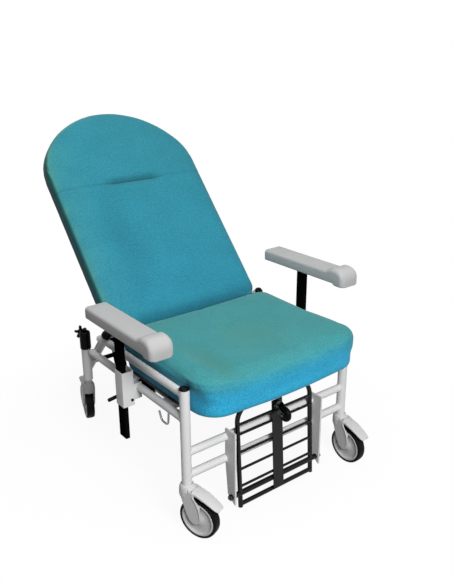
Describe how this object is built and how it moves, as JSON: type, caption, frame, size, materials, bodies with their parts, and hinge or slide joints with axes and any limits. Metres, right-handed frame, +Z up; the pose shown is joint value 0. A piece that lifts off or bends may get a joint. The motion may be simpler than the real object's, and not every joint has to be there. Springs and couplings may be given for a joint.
{
  "type": "patient rest chair",
  "caption": "Reclining patient chair on braked castors, with a padded seat and back, height-set armrests, a fold-down footrest and a drip pole holder.",
  "frame": {"origin": "on the floor under the middle of the chair's bounding box", "axes": "+Z up, -Y the way the sitter faces, +X to the right as seen from in front"},
  "size_m": [0.8094, 1.1261, 1.1103],
  "materials": {
    "frame_paint": "satin off-white powder coat",
    "black_paint": "semi-gloss black paint",
    "black_plastic": "moulded black plastic",
    "board": "black coated plywood",
    "vinyl": "smooth teal coated upholstery over foam",
    "pad": "light grey moulded skin foam",
    "bright_steel": "zinc plated steel",
    "castor_grey": "light grey moulded plastic",
    "tyre": "black rubber"
  },
  "bodies": {
    "frame": {"front_posts": "frame_paint", "upper_rails": "frame_paint", "lower_rails": "frame_paint", "rear_legs": "frame_paint", "tube_caps": "black_plastic", "front_cross_upper": "frame_paint", "front_cross_lower": "frame_paint", "rear_tie_bar": "black_paint", "seat_bar_front": "frame_paint", "seat_bar_rear": "frame_paint", "seat_bolts": "bright_steel", "seat_board": "board", "seat_cushion": "vinyl", "hinge_bolts": "bright_steel", "hinge_caps": "frame_paint", "gas_anchor": "black_paint", "gas_rod": "bright_steel", "arm_sleeves": "frame_paint", "sleeve_brackets": "frame_paint", "footrest_brackets": "frame_paint", "iv_socket": "frame_paint", "iv_head": "black_plastic", "bag_hook": "bright_steel"},
    "backrest": {"back_cushion": "vinyl", "back_board": "board", "back_uprights": "black_paint", "back_cross_tubes": "black_paint", "hinge_arms": "black_paint", "recline_levers": "black_paint"},
    "gas_spring": {"gas_cylinder": "black_paint"},
    "armrest_right": {"arm_post_right": "black_paint", "arm_pad_right": "pad"},
    "armrest_left": {"arm_post_left": "black_paint", "arm_pad_left": "pad"},
    "arm_clamp_right": {"clamp_lever_right": "black_paint"},
    "arm_clamp_left": {"clamp_lever_left": "black_paint"},
    "footrest": {"footrest_frame": "black_paint", "footrest_rungs": "black_paint", "footrest_axle": "black_paint", "footrest_strip": "black_paint"},
    "footrest_castor": {"footrest_castor_fork": "bright_steel"},
    "footrest_wheel": {"footrest_castor_wheel": "black_plastic"},
    "pole_knob": {"iv_knob": "black_plastic"},
    "castor_front_left": {"castor_housing_front_left": "castor_grey"},
    "castor_wheel_front_left": {"castor_disc_front_left": "castor_grey", "castor_tyre_front_left": "tyre"},
    "brake_pedal_front_left": {"castor_pedal_front_left": "castor_grey"},
    "castor_front_right": {"castor_housing_front_right": "castor_grey"},
    "castor_wheel_front_right": {"castor_disc_front_right": "castor_grey", "castor_tyre_front_right": "tyre"},
    "brake_pedal_front_right": {"castor_pedal_front_right": "castor_grey"},
    "castor_rear_left": {"castor_housing_rear_left": "castor_grey"},
    "castor_wheel_rear_left": {"castor_disc_rear_left": "castor_grey", "castor_tyre_rear_left": "tyre"},
    "brake_pedal_rear_left": {"castor_pedal_rear_left": "castor_grey"},
    "castor_rear_right": {"castor_housing_rear_right": "castor_grey"},
    "castor_wheel_rear_right": {"castor_disc_rear_right": "castor_grey", "castor_tyre_rear_right": "tyre"},
    "brake_pedal_rear_right": {"castor_pedal_rear_right": "castor_grey"}
  },
  "joints": [
    {"name": "backrest_recline", "type": "hinge", "parent": "frame", "child": "backrest", "pos_m": [0, -0.0005, 0.468], "axis": [-1, 0, 0], "range_deg": [-26.5, 38.5]},
    {"name": "gas_spring_stroke", "type": "slide", "parent": "frame", "child": "gas_spring", "axis": [0, -1, 0], "range_m": [-0.0636, 0.0919]},
    {"name": "armrest_height_right", "type": "slide", "parent": "frame", "child": "armrest_right", "axis": [0, 0, 1], "range_m": [-0.138, 0.057]},
    {"name": "armrest_height_left", "type": "slide", "parent": "frame", "child": "armrest_left", "axis": [0, 0, 1], "range_m": [-0.095, 0.1]},
    {"name": "arm_clamp_turn_right", "type": "hinge", "parent": "frame", "child": "arm_clamp_right", "pos_m": [0.35008, -0.1885, 0.344], "axis": [0, 1, 0], "range_deg": [0, 25], "stiffness_Nm_per_rad": 2},
    {"name": "arm_clamp_turn_left", "type": "hinge", "parent": "frame", "child": "arm_clamp_left", "pos_m": [-0.35008, -0.1885, 0.344], "axis": [0, -1, 0], "range_deg": [0, 25], "stiffness_Nm_per_rad": 2},
    {"name": "footrest_fold", "type": "hinge", "parent": "frame", "child": "footrest", "pos_m": [0, -0.4795, 0.071], "axis": [1, 0, 0], "range_deg": [0, 93.4]},
    {"name": "footrest_castor_swivel", "type": "hinge", "parent": "footrest", "child": "footrest_castor", "pos_m": [0, -0.47609, 0.32224], "axis": [0, -0.9982, 0.0593], "continuous": true},
    {"name": "footrest_wheel_spin", "type": "hinge", "parent": "footrest_castor", "child": "footrest_wheel", "pos_m": [0, -0.5111, 0.30629], "axis": [1, 0, 0], "continuous": true},
    {"name": "pole_knob_turn", "type": "hinge", "parent": "frame", "child": "pole_knob", "pos_m": [-0.32084, 0.1455, 0.42651], "axis": [0, 1, 0], "continuous": true},
    {"name": "castor_swivel_front_left", "type": "hinge", "parent": "frame", "child": "castor_front_left", "pos_m": [-0.3175, -0.4465, 0], "axis": [0, 0, 1], "continuous": true},
    {"name": "castor_spin_front_left", "type": "hinge", "parent": "castor_front_left", "child": "castor_wheel_front_left", "pos_m": [-0.30245, -0.48571, 0.0625], "axis": [0.9336, 0.3584, 0], "continuous": true},
    {"name": "brake_press_front_left", "type": "hinge", "parent": "castor_front_left", "child": "brake_pedal_front_left", "pos_m": [-0.3046, -0.48011, 0.141], "axis": [0.9336, 0.3584, 0], "range_deg": [-14, 16]},
    {"name": "castor_swivel_front_right", "type": "hinge", "parent": "frame", "child": "castor_front_right", "pos_m": [0.3175, -0.4465, 0], "axis": [0, 0, 1], "continuous": true},
    {"name": "castor_spin_front_right", "type": "hinge", "parent": "castor_front_right", "child": "castor_wheel_front_right", "pos_m": [0.31897, -0.48847, 0.0625], "axis": [0.9994, 0.0349, 0], "continuous": true},
    {"name": "brake_press_front_right", "type": "hinge", "parent": "castor_front_right", "child": "brake_pedal_front_right", "pos_m": [0.31876, -0.48248, 0.141], "axis": [0.9994, 0.0349, 0], "range_deg": [-14, 16]},
    {"name": "castor_swivel_rear_left", "type": "hinge", "parent": "frame", "child": "castor_rear_left", "pos_m": [-0.26, 0.2825, 0], "axis": [0, 0, 1], "continuous": true},
    {"name": "castor_spin_rear_left", "type": "hinge", "parent": "castor_rear_left", "child": "castor_wheel_rear_left", "pos_m": [-0.24772, 0.32266, 0.0625], "axis": [-0.9563, 0.2924, 0], "continuous": true},
    {"name": "brake_press_rear_left", "type": "hinge", "parent": "castor_rear_left", "child": "brake_pedal_rear_left", "pos_m": [-0.24948, 0.31693, 0.141], "axis": [-0.9563, 0.2924, 0], "range_deg": [0, 30]},
    {"name": "castor_swivel_rear_right", "type": "hinge", "parent": "frame", "child": "castor_rear_right", "pos_m": [0.26, 0.2825, 0], "axis": [0, 0, 1], "continuous": true},
    {"name": "castor_spin_rear_right", "type": "hinge", "parent": "castor_rear_right", "child": "castor_wheel_rear_right", "pos_m": [0.24984, 0.32325, 0.0625], "axis": [-0.9703, -0.2419, 0], "continuous": true},
    {"name": "brake_press_rear_right", "type": "hinge", "parent": "castor_rear_right", "child": "brake_pedal_rear_right", "pos_m": [0.25129, 0.31743, 0.141], "axis": [-0.9703, -0.2419, 0], "range_deg": [0, 30]}
  ],
  "couplings": [
    {"joint": "gas_spring_stroke", "follows": "backrest_recline", "m_per_rad": 0.1353}
  ]
}
